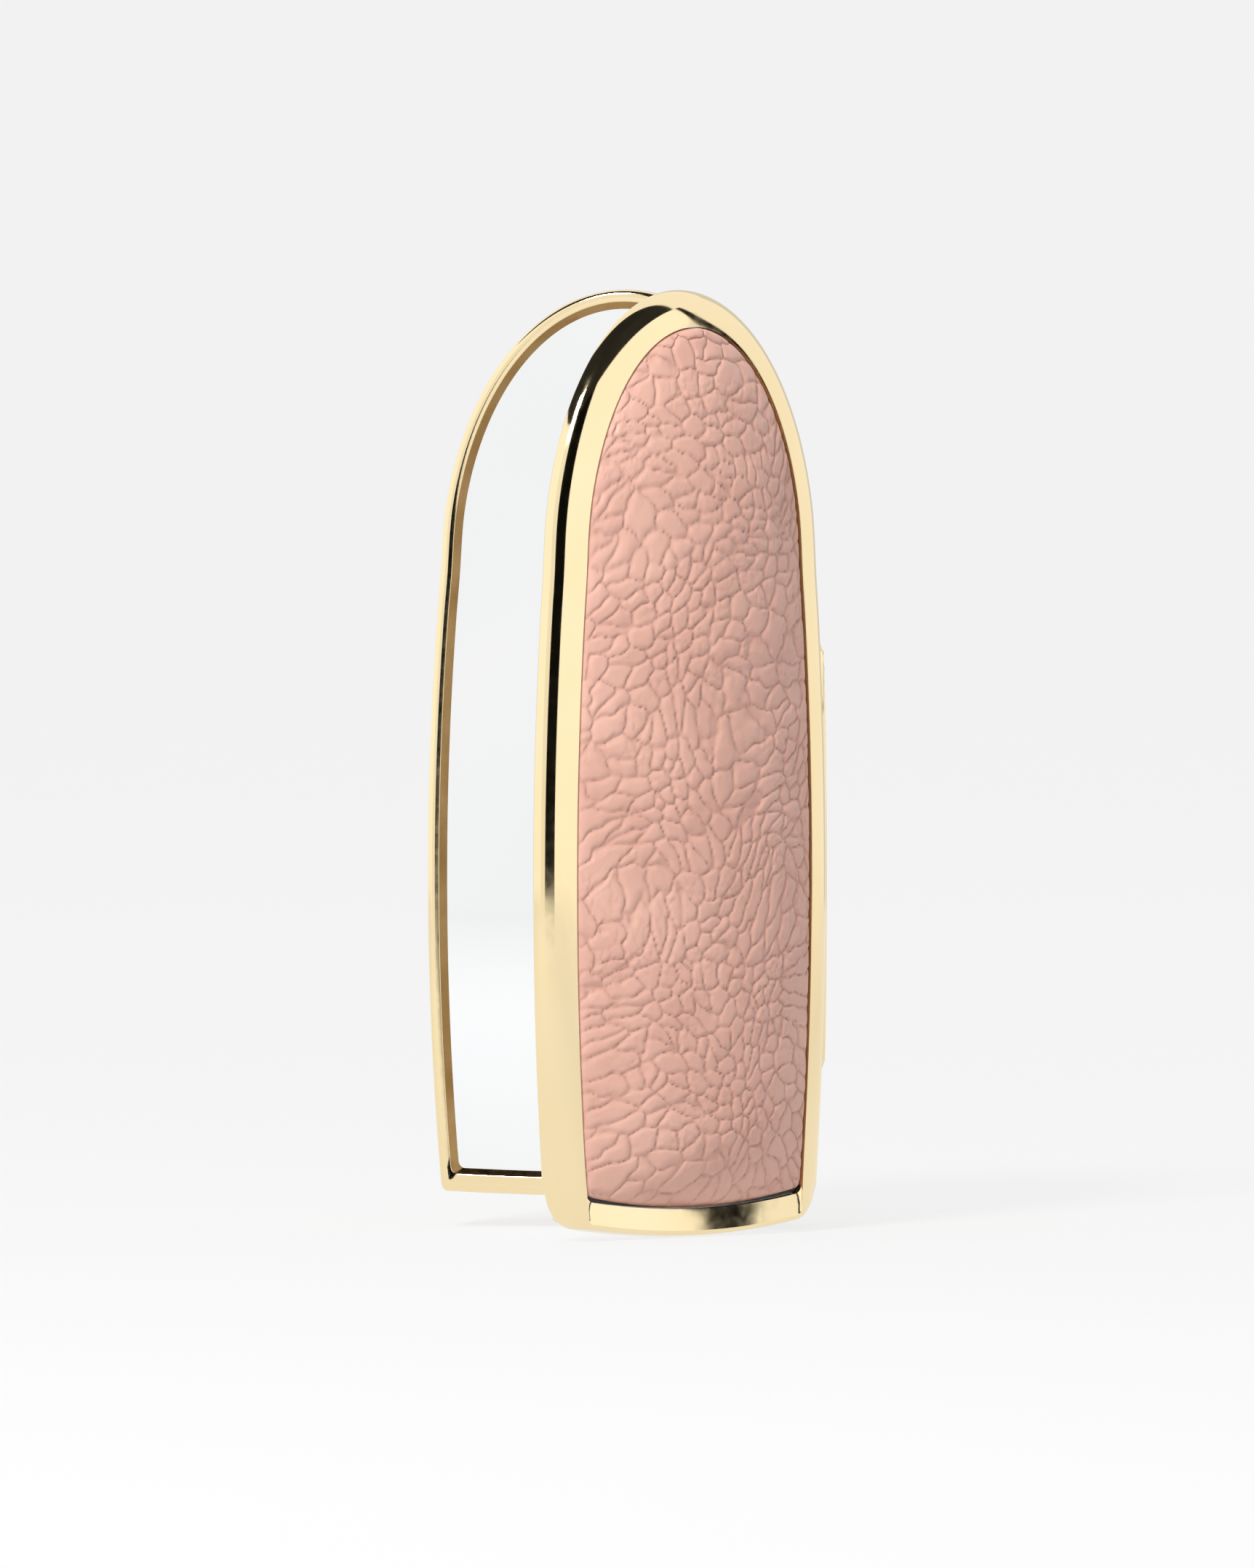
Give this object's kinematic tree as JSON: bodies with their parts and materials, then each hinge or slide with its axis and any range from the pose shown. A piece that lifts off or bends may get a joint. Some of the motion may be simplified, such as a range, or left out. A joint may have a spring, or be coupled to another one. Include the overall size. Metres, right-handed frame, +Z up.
{
  "type": "lipstick case",
  "caption": "Refillable lipstick case: domed metal shell with a socket and a mirror, and a sprung, hinged cover with a mirror and a padded leather front.",
  "frame": {"origin": "centre of the refill socket's mouth, on the plane that the case stands on", "axes": "+Z up along the socket towards the dome, -Y towards the cover, +X towards the hinge"},
  "size_m": [0.0373, 0.0491, 0.0868],
  "materials": {
    "gold": "mirror polished, pale gold plated",
    "dark_gold": "satin gold plated",
    "mirror": "silvered glass",
    "film": "double-sided adhesive film",
    "steel": "stamped sheet, brushed",
    "spring_steel": "drawn spring steel",
    "liner": "anodised inside and out",
    "black_plastic": "moulded, fine matt",
    "rubber": "soft silicone",
    "leather": "pebbled full grain, dusty rose"
  },
  "bodies": {
    "rear_half": {"rear_shell": "gold", "mirror_frame": "gold", "rear_mirror": "mirror", "rear_mirror_film": "film", "rear_mirror_plate": "steel", "base_plate": "dark_gold", "base_screws": "steel", "refill_sleeve": "liner", "grip_springs": "spring_steel", "sleeve_collar": "gold", "sleeve_cap": "black_plastic", "socket_bumper": "rubber", "sleeve_saddle": "black_plastic", "rear_knuckles": "gold", "hinge_pin": "steel", "torsion_spring": "spring_steel", "catch_guide": "black_plastic", "catch_spring": "spring_steel"},
    "cover": {"cover_frame": "gold", "leather_panel": "leather", "panel_carrier": "black_plastic", "cover_mirror": "mirror", "cover_mirror_film": "film", "cover_mirror_tray": "steel", "cover_knuckles": "gold", "catch_tongue": "dark_gold"},
    "catch": {"catch_slider": "steel"}
  },
  "joints": [
    {"name": "cover_hinge", "type": "hinge", "parent": "rear_half", "child": "cover", "pos_m": [0.0177, -0.011, 0.034], "axis": [0, 0, 1], "range_deg": [-52, 0], "stiffness_Nm_per_rad": 0.01, "springref_deg": 20.05},
    {"name": "catch_slide", "type": "slide", "parent": "rear_half", "child": "catch", "axis": [-1, 0, 0], "range_m": [0, 0.0015], "stiffness_N_per_m": 60, "springref_m": -0.0005}
  ]
}
